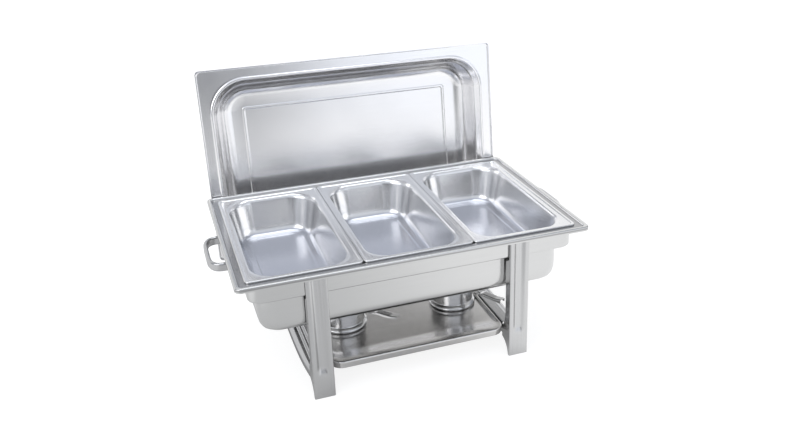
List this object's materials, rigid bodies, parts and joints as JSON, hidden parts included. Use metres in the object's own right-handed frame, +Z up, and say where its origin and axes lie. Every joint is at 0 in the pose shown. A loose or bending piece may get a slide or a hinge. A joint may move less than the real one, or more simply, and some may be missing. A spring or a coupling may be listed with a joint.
{
  "type": "chafing dish",
  "caption": "Rectangular steel chafing dish: food pans side by side in a water pan on a folded stand, lid parked upright behind, covered fuel cups below.",
  "frame": {"origin": "on the table, under the middle of the whole dish with its lid parked behind", "axes": "+X to the right along the long side, +Y to the back where the lid stands, +Z up"},
  "size_m": [0.61, 0.4612, 0.4394],
  "materials": {
    "polished": "polished stainless steel",
    "satin": "satin stainless steel",
    "brushed": "fine brushed stainless steel",
    "dark_brushed": "brushed stainless steel, mirror-like and dark where it reflects the underside of the pan",
    "rivet": "plain stainless rivets and washers"
  },
  "bodies": {
    "stand": {"burner_shelf": "dark_brushed", "leg_front_left": "brushed", "leg_front_right": "brushed", "leg_rear_left": "brushed", "leg_rear_right": "brushed", "end_bar_left": "brushed", "end_bar_right": "brushed", "lid_hook_left": "brushed", "lid_hook_right": "brushed", "lid_hook_rivet_left_1": "rivet", "lid_hook_rivet_left_2": "rivet", "lid_hook_rivet_right_1": "rivet", "lid_hook_rivet_right_2": "rivet", "shelf_rivet_left_1": "rivet", "shelf_rivet_left_2": "rivet", "shelf_rivet_right_1": "rivet", "shelf_rivet_right_2": "rivet"},
    "water_pan": {"water_pan": "satin", "carry_handle_left": "brushed", "carry_handle_right": "brushed"},
    "food_pan_left": {"food_pan_left": "polished"},
    "food_pan_middle": {"food_pan_middle": "polished"},
    "food_pan_right": {"food_pan_right": "polished"},
    "lid": {"lid_shell": "satin", "lid_handle": "brushed"},
    "fuel_cup_left": {"fuel_cup_left": "polished"},
    "cup_cover_left": {"cup_cover_left": "polished", "damper_washer_left": "rivet", "damper_pivot_left": "rivet"},
    "damper_left": {"damper_left": "polished", "damper_lever_left": "brushed", "lever_rivet_left": "rivet"},
    "fuel_cup_right": {"fuel_cup_right": "polished"},
    "cup_cover_right": {"cup_cover_right": "polished", "damper_washer_right": "rivet", "damper_pivot_right": "rivet"},
    "damper_right": {"damper_right": "polished", "damper_lever_right": "brushed", "lever_rivet_right": "rivet"}
  },
  "joints": [
    {"name": "water_pan_lift", "type": "slide", "parent": "stand", "child": "water_pan", "axis": [0, 0, 1], "range_m": [0, 0.12]},
    {"name": "food_pan_left_lift", "type": "slide", "parent": "water_pan", "child": "food_pan_left", "axis": [0, 0, 1], "range_m": [0, 0.12]},
    {"name": "food_pan_middle_lift", "type": "slide", "parent": "water_pan", "child": "food_pan_middle", "axis": [0, 0, 1], "range_m": [0, 0.12]},
    {"name": "food_pan_right_lift", "type": "slide", "parent": "water_pan", "child": "food_pan_right", "axis": [0, 0, 1], "range_m": [0, 0.12]},
    {"name": "lid_lift", "type": "slide", "parent": "stand", "child": "lid", "axis": [0, 0.1132, 0.9936], "range_m": [0, 0.15]},
    {"name": "fuel_cup_left_lift", "type": "slide", "parent": "stand", "child": "fuel_cup_left", "axis": [0, 0, 1], "range_m": [0, 0.01]},
    {"name": "cup_cover_left_lift", "type": "slide", "parent": "fuel_cup_left", "child": "cup_cover_left", "axis": [0, 0, 1], "range_m": [0, 0.01]},
    {"name": "fuel_cup_right_lift", "type": "slide", "parent": "stand", "child": "fuel_cup_right", "axis": [0, 0, 1], "range_m": [0, 0.01]},
    {"name": "cup_cover_right_lift", "type": "slide", "parent": "fuel_cup_right", "child": "cup_cover_right", "axis": [0, 0, 1], "range_m": [0, 0.01]},
    {"name": "damper_left_swivel", "type": "hinge", "parent": "cup_cover_left", "child": "damper_left", "pos_m": [-0.07793, -0.10491, 0.08], "axis": [0, 0, 1], "range_deg": [0, 100]},
    {"name": "damper_right_swivel", "type": "hinge", "parent": "cup_cover_right", "child": "damper_right", "pos_m": [0.113, -0.1086, 0.08], "axis": [0, 0, -1], "range_deg": [0, 100]}
  ]
}
